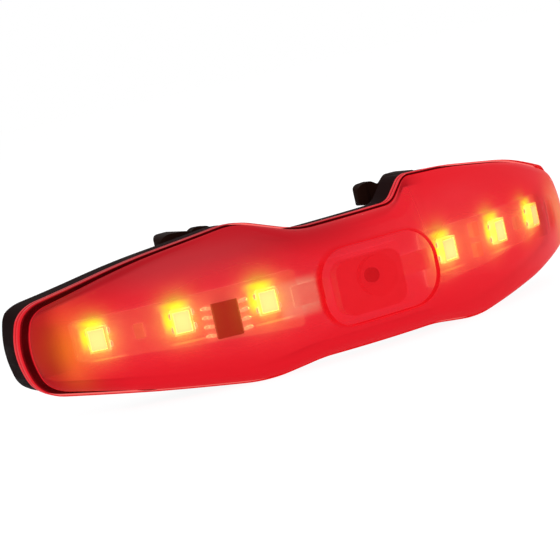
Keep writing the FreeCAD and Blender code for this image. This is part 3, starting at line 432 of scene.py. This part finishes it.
def soften(node, name, body, width, sharpest=30):
    """Copy of a solid with its doubles merged, its flat faces joined and its edges rounded by a bevel."""
    mesh = nodes[node].data.copy()
    mesh.name = name
    mesh.materials.clear()
    work = bmesh.new()
    work.from_mesh(mesh)
    bmesh.ops.remove_doubles(work, verts=work.verts, dist=0.002 * MM)
    bmesh.ops.dissolve_limit(work, angle_limit=math.radians(1.0), verts=work.verts, edges=work.edges)
    work.to_mesh(mesh)
    work.free()
    mesh.shade_smooth()
    mesh.set_sharp_from_angle(angle=math.radians(sharpest))
    piece = bpy.data.objects.new(name, mesh)
    bpy.context.scene.collection.objects.link(piece)
    bevel = piece.modifiers.new("rounded edges", "BEVEL")
    bevel.width = width * MM
    bevel.segments = 3
    bevel.limit_method = "ANGLE"
    bevel.angle_limit = math.radians(sharpest)
    bevel.use_clamp_overlap = True
    bevel.harden_normals = True
    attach(piece, body)
    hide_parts(node)
    return piece


# Materials

# Patches round one lamp, seen along the arc and upright: middle and half sizes in millimetres. The glows
# are painted light, the bars and the low line painted reflections and the lens glow painted light on the
# lens; the phosphor is the lamp's own lit window.
GLOW_ABOVE = ((-0.6, 2.3), (2.7, 2.4))
GLOW_NEAR = ((-0.3, 0.0), (3.3, 3.4))
TOP_BAR = ((-0.75, 2.3), (1.9, 0.55))
LEFT_BAR = ((-2.0, 0.55), (0.7, 1.7))
LOW_LINE = ((0.4, -2.95), (2.6, 0.16))
PHOSPHOR = ((0.0, 0.0), (1.2, 1.5))
LENS_GLOW = ((-0.3, 1.2), (2.4, 2.6))

# Patches measured from the middle of the light: painted orange light at the ends of the tray and of the
# lens, and a painted pale glow at the inner end of the left board.
TRAY_END = ((46.0, -0.5), (4.4, 4.4))
LENS_END = ((42.0, -0.5), (2.6, 4.5))
BOARD_END = ((-10.2, -0.7), (3.0, 2.6))

# Light of those places before the red skin filters it, which keeps nearly all of the red and a sixth of
# the rest. The phosphor's light is the lamp's own; all the rest is painted light, the glint light painted
# glints on the metal.
END_LIGHT = (0.50, 1.0, 0.05, 1.0)
BOARD_END_LIGHT = (0.38, 1.7, 1.25, 1.0)
HAZE_LIGHT = (0.07, 1.0, 0.08, 1.0)
BAR_LIGHT = (0.10, 1.0, 0.02, 1.0)
PHOSPHOR_LIGHT = (0.16, 1.0, 0.35, 1.0)
GLINT_LIGHT = (0.5, 1.0, 0.45, 1.0)
SKIN_TINT = (0.95, 0.16, 0.145, 1.0)
CLEAR = (1.0, 1.0, 1.0, 1.0)


def linear(code):
    """Linear colour of an sRGB hex value, with its alpha."""
    parts = np.array([int(code[index:index + 2], 16) / 255 for index in (0, 2, 4)])
    parts = np.where(parts <= 0.04045, parts / 12.92, ((parts + 0.055) / 1.055) ** 2.4)
    return (*parts.tolist(), 1.0)


def add(tree, kind, inputs=(), **settings):
    """Add one node: settings are its properties; inputs give a value, a node or an output for a socket."""
    made = tree.nodes.new(kind)
    for name, value in settings.items():
        setattr(made, name, value)
    for socket, value in dict(inputs).items():
        if isinstance(value, bpy.types.Node):
            value = value.outputs[0]
        if isinstance(value, bpy.types.NodeSocket):
            tree.links.new(value, made.inputs[socket])
        else:
            made.inputs[socket].default_value = value
    return made


def new_material(name):
    """Empty material and its node tree."""
    material = bpy.data.materials.new(name)
    material.use_nodes = True
    material.node_tree.nodes.clear()
    return material, material.node_tree


def grain(tree, scale_mm, strength):
    """Bump of fine noise whose lumps are about as wide as the given size."""
    spots = add(tree, "ShaderNodeTexCoord")
    noise = add(tree, "ShaderNodeTexNoise", {"Vector": spots.outputs["Object"], "Scale": 1 / (scale_mm * MM),
                                             "Detail": 3.0, "Roughness": 0.55})
    return add(tree, "ShaderNodeBump", {"Height": noise, "Strength": strength, "Distance": 0.05 * MM})


def arc_places(tree):
    """Distance along the arc, height, distance from the nearest lamp along the arc, all in millimetres, and a
    mask that is 1 round the lamps and 0 in the middle and past the last lamps.

    The first is the angle about the arc's axis times the lamps' radius; the third folds it by their pitch."""
    spots = add(tree, "ShaderNodeTexCoord")
    parts = add(tree, "ShaderNodeSeparateXYZ", {0: spots.outputs["Object"]})
    ahead = add(tree, "ShaderNodeMath", {0: ARC_CENTRE * MM, 1: parts.outputs["Y"]}, operation="SUBTRACT")
    angle = add(tree, "ShaderNodeMath", {0: parts.outputs["X"], 1: ahead}, operation="ARCTAN2")
    along = add(tree, "ShaderNodeMath", {0: angle, 1: LAMP_RADIUS}, operation="MULTIPLY")
    height = add(tree, "ShaderNodeMath", {0: parts.outputs["Z"], 1: 1 / MM}, operation="MULTIPLY")
    side = add(tree, "ShaderNodeMath", {0: along}, operation="SIGN")
    first = add(tree, "ShaderNodeMath", {0: side, 1: FIRST_LAMP}, operation="MULTIPLY")
    shifted = add(tree, "ShaderNodeMath", {0: along, 1: first}, operation="SUBTRACT")
    centred = add(tree, "ShaderNodeMath", {0: shifted, 1: LAMP_PITCH / 2}, operation="ADD")
    folded = add(tree, "ShaderNodeMath", {0: centred, 1: LAMP_PITCH}, operation="FLOORED_MODULO")
    across = add(tree, "ShaderNodeMath", {0: folded, 1: LAMP_PITCH / 2}, operation="SUBTRACT")
    reach = add(tree, "ShaderNodeMath", {0: along}, operation="ABSOLUTE")
    lamps = add(tree, "ShaderNodeMapRange", {"Value": reach, "From Min": FIRST_LAMP - 5.5,
                                             "From Max": FIRST_LAMP - 4.0}, interpolation_type="SMOOTHSTEP")
    past = add(tree, "ShaderNodeMath", {0: reach, 1: FIRST_LAMP + 2.5 * LAMP_PITCH}, operation="LESS_THAN")
    lamps = add(tree, "ShaderNodeMath", {0: lamps, 1: past}, operation="MULTIPLY")
    return along, height, across, lamps


def soft_patch(tree, across, up, middle, half, power):
    """Patch that fades outwards: e to the minus of both distances from its middle, over its half sizes,
    raised to a power and added. A power of 2 gives a haze, and a higher one a bar with soft edges."""
    parts = []
    for place, centre, reach in ((across, middle[0], half[0]), (up, middle[1], half[1])):
        off = add(tree, "ShaderNodeMath", {0: place, 1: centre}, operation="SUBTRACT")
        share = add(tree, "ShaderNodeMath", {0: off, 1: reach}, operation="DIVIDE")
        size = add(tree, "ShaderNodeMath", {0: share}, operation="ABSOLUTE")
        parts.append(add(tree, "ShaderNodeMath", {0: size, 1: power}, operation="POWER"))
    both = add(tree, "ShaderNodeMath", {0: parts[0], 1: parts[1]}, operation="ADD")
    fall = add(tree, "ShaderNodeMath", {0: both, 1: -1.0}, operation="MULTIPLY")
    return add(tree, "ShaderNodeMath", {0: fall}, operation="EXPONENT")


def red_polycarbonate(name, haze_amount):
    """Moulded clear red polycarbonate: glossy and a little hazy, with a painted glow that stands for the
    light of the lamps behind it.

    What the eye sees: an even painted red glow, deeper along the top of the left half by painted shade,
    cloudy at the long sides, and a painted orange glow round each lamp and at the ends. Only the outer skin
    tints what is behind it; surfaces marked as inside are clear."""
    material, tree = new_material(name)
    along, height, across, lamps = arc_places(tree)
    # Painted orange glow at the ends of the lens and round each lamp.
    reach = add(tree, "ShaderNodeMath", {0: along}, operation="ABSOLUTE")
    ends = soft_patch(tree, reach, height, *LENS_END, 2.0)
    haze = soft_patch(tree, across, height, *LENS_GLOW, 2.0)
    haze = add(tree, "ShaderNodeMath", {0: haze, 1: lamps}, operation="MULTIPLY")
    # Painted shade: the top of the left half gets a darker base colour and a darker glow.
    painted_top_shade = add(tree, "ShaderNodeMapRange", {"Value": height, "From Min": 3.5, "From Max": 8.5},
                interpolation_type="SMOOTHSTEP")
    left = add(tree, "ShaderNodeMapRange", {"Value": along, "From Min": 6.0, "From Max": -8.0,
                                            "To Min": 0.15}, interpolation_type="SMOOTHSTEP")
    painted_top_shade = add(tree, "ShaderNodeMath", {0: painted_top_shade, 1: left}, operation="MULTIPLY")
    base = add(tree, "ShaderNodeMix", {"Factor": painted_top_shade, "A": linear("9C0E16"), "B": linear("8A0A12")},
               data_type="RGBA")
    # Painted glow of the whole lens, standing for the lamps' light inside it.
    glow = linear("CB1420")
    for share, light in [(painted_top_shade, linear("96101A")), (haze, linear("D85A2A")), (ends, linear("D87020"))]:
        glow = add(tree, "ShaderNodeMix", {"Factor": share, "A": glow, "B": light},
                   data_type="RGBA").outputs["Result"]
    spots = add(tree, "ShaderNodeTexCoord")
    wander = add(tree, "ShaderNodeTexNoise", {"Vector": spots.outputs["Object"], "Scale": 220.0,
                                              "Detail": 3.0, "Roughness": 0.5})
    body = add(tree, "ShaderNodeBsdfPrincipled", {
        "Base Color": base.outputs["Result"], "Roughness": 0.3, "IOR": 1.3, "Specular IOR Level": 0.3,
        "Emission Color": glow, "Emission Strength": 0.95, "Normal": grain(tree, 2.5, 0.04),
    })
    inside = add(tree, "ShaderNodeAttribute", attribute_name="inside")
    tint = add(tree, "ShaderNodeMix", {"Factor": inside.outputs["Fac"], "A": SKIN_TINT, "B": CLEAR},
               data_type="RGBA")
    clear = add(tree, "ShaderNodeBsdfTransparent", {"Color": tint.outputs["Result"]})
    haziness = add(tree, "ShaderNodeMapRange", {"Value": wander, "To Min": haze_amount - 0.05,
                                                "To Max": haze_amount + 0.05})
    sides = add(tree, "ShaderNodeAttribute", attribute_name="cloud")
    share = add(tree, "ShaderNodeMath", {0: sides.outputs["Fac"], 1: 0.6, 2: haziness},
                operation="MULTIPLY_ADD")
    outer = add(tree, "ShaderNodeMath", {0: 1.0, 1: inside.outputs["Fac"]}, operation="SUBTRACT")
    share = add(tree, "ShaderNodeMath", {0: share, 1: outer}, operation="MULTIPLY")
    mixed = add(tree, "ShaderNodeMixShader", {"Fac": share, 1: clear, 2: body})
    add(tree, "ShaderNodeOutputMaterial", {"Surface": mixed})
    return material


def moulded_plastic(name, colour, darker, roughness, grain_mm, bump, specular=0.5):
    """Moulded plastic with a fine spark-eroded grain: colour that wanders slightly and broken gloss."""
    material, tree = new_material(name)
    spots = add(tree, "ShaderNodeTexCoord")
    wander = add(tree, "ShaderNodeTexNoise", {"Vector": spots.outputs["Object"], "Scale": 300.0,
                                              "Detail": 4.0})
    tone = add(tree, "ShaderNodeMix", {"Factor": wander, "A": linear(darker), "B": linear(colour)},
               data_type="RGBA")
    gloss = add(tree, "ShaderNodeMapRange", {"Value": wander, "To Min": roughness - 0.06,
                                             "To Max": roughness + 0.06})
    surface = add(tree, "ShaderNodeBsdfPrincipled", {
        "Base Color": tone.outputs["Result"], "Roughness": gloss, "IOR": 1.08, "Specular IOR Level": specular,
        "Normal": grain(tree, grain_mm, bump),
    })
    add(tree, "ShaderNodeOutputMaterial", {"Surface": surface})
    return material


def lit_white(name, colour, warm, bounce, strength=1.0):
    """Plastic or solder mask inside the lens, with a painted glow for the lamps' light on it; bounce is the
    painted light that it sends back.

    What the eye sees through the red: a painted rose or salmon glow where it is dim, painted orange light
    round a lamp and at the ends, painted yellow reflections close above, left of and below the lamp, and a
    painted pale glow at the inner end of the left board. Painted shade takes the tray's ends down into brown."""
    material, tree = new_material(name)
    along, height, across, lamps = arc_places(tree)
    reach = add(tree, "ShaderNodeMath", {0: along}, operation="ABSOLUTE")
    # Painted glow round each lamp.
    above = soft_patch(tree, across, height, *GLOW_ABOVE, 2.0)
    near = soft_patch(tree, across, height, *GLOW_NEAR, 2.0)
    haze = add(tree, "ShaderNodeMath", {0: above, 1: near}, operation="MAXIMUM")
    haze = add(tree, "ShaderNodeMath", {0: haze, 1: lamps}, operation="MULTIPLY")
    # Painted reflections: bars above and left of each lamp and a faint line below it.
    top_bar = soft_patch(tree, across, height, *TOP_BAR, 3.0)
    left_bar = soft_patch(tree, across, height, *LEFT_BAR, 3.0)
    low_line = soft_patch(tree, across, height, *LOW_LINE, 4.0)
    low_line = add(tree, "ShaderNodeMath", {0: low_line, 1: 0.3}, operation="MULTIPLY")
    bars = add(tree, "ShaderNodeMath", {0: top_bar, 1: left_bar}, operation="MAXIMUM")
    bars = add(tree, "ShaderNodeMath", {0: bars, 1: low_line}, operation="MAXIMUM")
    bars = add(tree, "ShaderNodeMath", {0: bars, 1: lamps}, operation="MULTIPLY")
    # Painted orange light at the tray's ends and a painted pale glow at the inner end of the left board.
    ends = soft_patch(tree, reach, height, *TRAY_END, 2.0)
    board_end = soft_patch(tree, along, height, *BOARD_END, 8.0)
    # Painted shade: from 43 mm to 47 mm from the middle the colour turns dark brown and the glow drops to
    # about a quarter.
    last = add(tree, "ShaderNodeMapRange", {"Value": reach, "From Min": 43.0, "From Max": 47.0, "To Min": 1.0,
                                            "To Max": 0.26}, interpolation_type="SMOOTHSTEP")
    spots = add(tree, "ShaderNodeTexCoord")
    wander = add(tree, "ShaderNodeTexNoise", {"Vector": spots.outputs["Object"], "Scale": 500.0,
                                              "Detail": 4.0})
    tone = add(tree, "ShaderNodeMix", {"Factor": wander, "A": linear(colour), "B": linear(warm)},
               data_type="RGBA")
    tone = add(tree, "ShaderNodeMix", {"Factor": last, "A": linear("2A160E"), "B": tone.outputs["Result"]},
               data_type="RGBA")
    wash = (*bounce, 1.0)
    for share, light in [(ends, END_LIGHT), (board_end, BOARD_END_LIGHT), (haze, HAZE_LIGHT),
                         (bars, BAR_LIGHT)]:
        wash = add(tree, "ShaderNodeMix", {"Factor": share, "A": wash, "B": light},
                   data_type="RGBA").outputs["Result"]
    power = add(tree, "ShaderNodeMath", {0: haze, 1: 2.0, 2: 0.8}, operation="MULTIPLY_ADD")
    power = add(tree, "ShaderNodeMath", {0: bars, 1: 5.0, 2: power}, operation="MULTIPLY_ADD")
    power = add(tree, "ShaderNodeMath", {0: power, 1: last}, operation="MULTIPLY")
    # The painted glow's strength wanders at random.
    glow_wander = add(tree, "ShaderNodeMapRange", {"Value": wander, "To Min": 0.7 * strength,
                                             "To Max": 1.3 * strength})
    power = add(tree, "ShaderNodeMath", {0: power, 1: glow_wander}, operation="MULTIPLY")
    surface = add(tree, "ShaderNodeBsdfPrincipled", {
        "Base Color": tone.outputs["Result"], "Roughness": 0.45, "Emission Color": wash,
        "Emission Strength": power, "Normal": grain(tree, 0.4, 0.1),
    })
    add(tree, "ShaderNodeOutputMaterial", {"Surface": surface})
    return material


def lit_phosphor(name):
    """Yellow phosphor under clear silicone, lit from below: blinding pale yellow, stronger in the middle."""
    material, tree = new_material(name)
    _, height, across, _ = arc_places(tree)
    middle = soft_patch(tree, across, height, *PHOSPHOR, 4.0)
    power = add(tree, "ShaderNodeMath", {0: middle, 1: 2.2, 2: 7.2}, operation="MULTIPLY_ADD")
    surface = add(tree, "ShaderNodeBsdfPrincipled", {
        "Base Color": linear("F4E27A"), "Roughness": 0.2, "Emission Color": PHOSPHOR_LIGHT,
        "Emission Strength": power, "Normal": grain(tree, 0.2, 0.05),
    })
    add(tree, "ShaderNodeOutputMaterial", {"Surface": surface})
    return material


def bare_metal(name, colour, roughness, stretch, glow=0.0):
    """Plated or rolled metal: fine drawn lines along Z break up its shine, and a painted glow of even
    strength stands for its glints beside the lamps.
    """
    material, tree = new_material(name)
    spots = add(tree, "ShaderNodeTexCoord")
    drawn = add(tree, "ShaderNodeMapping", {"Vector": spots.outputs["Object"], "Scale": (1.0, 1.0, stretch)})
    lines = add(tree, "ShaderNodeTexNoise", {"Vector": drawn, "Scale": 4000.0, "Detail": 2.0})
    gloss = add(tree, "ShaderNodeMapRange", {"Value": lines, "To Min": roughness - 0.08,
                                             "To Max": roughness + 0.1})
    ridges = add(tree, "ShaderNodeBump", {"Height": lines, "Strength": 0.15, "Distance": 0.02 * MM})
    # Painted glints: a glow of the given strength, the same all over.
    surface = add(tree, "ShaderNodeBsdfPrincipled", {
        "Base Color": linear(colour), "Metallic": 1.0, "Roughness": gloss, "Normal": ridges,
        "Emission Color": GLINT_LIGHT, "Emission Strength": glow,
    })
    add(tree, "ShaderNodeOutputMaterial", {"Surface": surface})
    return material


# Painted light that the tray and the boards send back away from the lamps, before the red skin filters it.
TRAY_BOUNCE = (0.36, 0.17, 0.30)
BOARD_BOUNCE = (0.38, 0.6, 0.5)

lens_red = red_polycarbonate("clear_red_polycarbonate", 0.4)
pad_red = red_polycarbonate("clear_red_polycarbonate_pad", 0.42)
housing_black = moulded_plastic("black_abs_spark_grained", "240C0C", "1A0808", 0.5, 0.12, 0.2, 0.3)
clip_black = moulded_plastic("black_acetal_moulded", "28140E", "1E0C08", 0.42, 0.2, 0.12, 0.4)
cap_black = moulded_plastic("black_abs_cap", "241212", "1A0C0C", 0.4, 0.1, 0.25, 0.4)
# Every lit_white material below carries painted light from the lamps: its bounce colour and strength set its
# painted glow.
tray_white = lit_white("white_abs_tray", "E8DCD6", "D8C4BC", TRAY_BOUNCE)
board_white = lit_white("white_solder_mask", "F2E6E0", "E4D2C8", BOARD_BOUNCE)
switch_board_white = lit_white("white_solder_mask_middle", "F2E6E0", "E4D2C8", TRAY_BOUNCE)
link_pale = lit_white("pale_flexible_link", "F0E4D8", "E0D0C0", (0.36, 0.26, 0.32))
lamp_body = lit_white("white_lamp_nylon", "F8F4EC", "F0E8DC", BOARD_BOUNCE, 3.0)
lamp_window = lit_phosphor("lit_phosphor_silicone")
chip_black = lit_white("black_epoxy_mould_compound", "1E1A18", "14100E", (0.16, 0.22, 0.02))
# The tinned copper's 3.4 is the strength of its painted glints.
tin = bare_metal("tinned_copper", "F0ECE4", 0.3, 0.2, 3.4)
resistor_black = lit_white("thick_film_resistor", "8A706A", "7A605A", (0.95, 1.25, 0.6))
capacitor_tan = lit_white("tan_ceramic_capacitor", "D8B088", "C49C74", (0.9, 1.2, 0.55))
switch_frame = lit_white("pale_nylon_frame", "E0C8C0", "D4B8B0", (0.36, 0.085, 0.15))
switch_body = lit_white("pale_switch_case", "E0C8C0", "D4B8B0", (0.32, 0.06, 0.10))
plunger_black = lit_white("dark_nylon_plunger", "7A3C38", "6A302C", (0.34, 0.03, 0.03))
cell_steel = bare_metal("nickel_plated_steel", "C8C6C2", 0.22, 0.05)
contact_brass = bare_metal("rolled_brass", "C9A45C", 0.28, 0.05)

NODE_MATERIALS = {
    "rear_housing": housing_black, "lens": lens_red, "led_carrier": tray_white, "left_led_board": board_white,
    "right_led_board": board_white, "switch_board": switch_board_white, "board_links": link_pale,
    "led_packages": lamp_body, "led_windows": lamp_window, "controller_chip": chip_black, "chip_legs": tin,
    "chip_resistors": resistor_black, "chip_capacitors": capacitor_tan, "tact_switch": switch_body,
    "switch_plunger": plunger_black, "switch_cover": switch_frame, "mode_button": pad_red,
    "left_cell": cell_steel, "right_cell": cell_steel, "left_cell_contact": contact_brass,
    "right_cell_contact": contact_brass, "left_battery_cap": cap_black, "right_battery_cap": cap_black,
    "left_clip": clip_black, "right_clip": clip_black,
}
for node, material in NODE_MATERIALS.items():
    mesh = nodes[node].data
    if not mesh.materials:
        mesh.materials.append(material)
    for index in range(len(mesh.materials)):
        mesh.materials[index] = material


# Pieces

make_lens().data.materials.append(lens_red)
make_press_pad().data.materials.append(pad_red)
soften("rear_housing", "housing_shell", "light", 0.35).data.materials.append(housing_black)
soften("left_clip", "left_hook", "light", 0.8).data.materials.append(clip_black)
soften("right_clip", "right_hook", "light", 0.8).data.materials.append(clip_black)
make_chip().data.materials.append(chip_black)
make_solder().data.materials.append(tin)
soften("left_battery_cap", "left_cap_plug", "left_cap", 0.12).data.materials.append(cap_black)
soften("right_battery_cap", "right_cap_plug", "right_cap", 0.12).data.materials.append(cap_black)


# Floor, light and camera

def make_floor():
    """Large pale floor under the lowest point. It lights the underside as pale paper does; where it is seen,
    its own glow makes it white and the rest keeps a soft shadow."""
    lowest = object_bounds()[0].z
    mesh = bpy.data.meshes.new("floor")
    reach = 4.0
    mesh.from_pydata([(-reach, -reach, lowest), (reach, -reach, lowest), (reach, reach, lowest),
                      (-reach, reach, lowest)], [], [(0, 1, 2, 3)])
    floor = bpy.data.objects.new("floor", mesh)
    bpy.context.scene.collection.objects.link(floor)
    material, tree = new_material("white_paper")
    path = add(tree, "ShaderNodeLightPath")
    seen = add(tree, "ShaderNodeMath", {0: path.outputs["Is Camera Ray"],
                                        1: path.outputs["Is Transmission Ray"]}, operation="MAXIMUM")
    paper = add(tree, "ShaderNodeBsdfDiffuse", {"Color": linear("BEBEBE")})
    shade = add(tree, "ShaderNodeBsdfDiffuse", {"Color": linear("666666")})
    white = add(tree, "ShaderNodeEmission", {"Color": linear("FFFFFF"), "Strength": 0.93})
    bright = add(tree, "ShaderNodeAddShader", {0: shade, 1: white})
    mixed = add(tree, "ShaderNodeMixShader", {"Fac": seen, 1: paper, 2: bright})
    add(tree, "ShaderNodeOutputMaterial", {"Surface": mixed})
    mesh.materials.append(material)


def make_world():
    """Even pale surroundings: white where they are seen, softer as light and dimmer in reflections."""
    world = bpy.data.worlds.new("studio")
    bpy.context.scene.world = world
    world.use_nodes = True
    tree = world.node_tree
    tree.nodes.clear()
    path = add(tree, "ShaderNodeLightPath")
    seen = add(tree, "ShaderNodeMath", {0: path.outputs["Is Camera Ray"],
                                        1: path.outputs["Is Transmission Ray"]}, operation="MAXIMUM")
    soft = add(tree, "ShaderNodeMapRange", {"Value": path.outputs["Is Glossy Ray"], "To Min": 0.55,
                                            "To Max": 0.3})
    strength = add(tree, "ShaderNodeMath", {0: seen, 1: soft}, operation="MAXIMUM")
    sky = add(tree, "ShaderNodeBackground", {"Color": linear("FFFFFF"), "Strength": strength})
    add(tree, "ShaderNodeOutputWorld", {"Surface": sky})


def make_lamp(name, place, target, size, power, mirrored=True):
    """Square soft box that faces the object; one that isn't mirrored leaves no glare on glossy surfaces."""
    data = bpy.data.lights.new(name, "AREA")
    data.size, data.energy = size, power
    lamp = bpy.data.objects.new(name, data)
    lamp.location = place
    lamp.visible_glossy = mirrored
    lamp.rotation_euler = (Vector(target) - Vector(place)).to_track_quat("-Z", "Y").to_euler()
    bpy.context.scene.collection.objects.link(lamp)


def make_camera():
    """Camera at the photograph's place: left of the light and a little above, rolled, with no shift. Its
    distance, its place across and its place up are millimetres from the middle of the lamps' arc."""
    turn, rise, roll = math.radians(-24.70), math.radians(6.70), math.radians(-12.81)
    distance, across, up = 260.63, -12.10, -0.73
    focal_pixels, frame_pixels = 1889.4, 560
    back = Vector((math.sin(turn) * math.cos(rise), -math.cos(turn) * math.cos(rise), math.sin(rise)))
    level = Vector((math.cos(turn), math.sin(turn), 0))
    upright = back.cross(level)
    right = level * math.cos(roll) + upright * math.sin(roll)
    top = upright * math.cos(roll) - level * math.sin(roll)
    place = back * distance + right * across + top * up - Vector((0, LAMP_RADIUS - ARC_CENTRE, 0))
    data = bpy.data.cameras.new("camera")
    data.sensor_width = 36
    data.lens = focal_pixels / frame_pixels * data.sensor_width
    data.clip_start, data.clip_end = 0.01, 20
    camera = bpy.data.objects.new("camera", data)
    camera.matrix_world = Matrix.Translation(place * MM) @ Matrix((right, top, back)).transposed().to_4x4()
    bpy.context.scene.collection.objects.link(camera)
    bpy.context.scene.camera = camera


make_floor()
make_world()
make_lamp("key", (-0.30, -0.45, 0.45), (0, 0, 0), 0.45, 1.6)
make_lamp("fill", (0.50, -0.35, 0.15), (0, 0, 0), 0.5, 0.8)
make_lamp("rim", (-0.1, 0.45, 0.40), (0, 0, 0), 0.5, 0.3)
make_lamp("rear", (0.30, 0.46, 0.16), (0, 0, 0), 0.25, 2.6, False)
make_camera()
bpy.context.scene.view_settings.view_transform = "Standard"
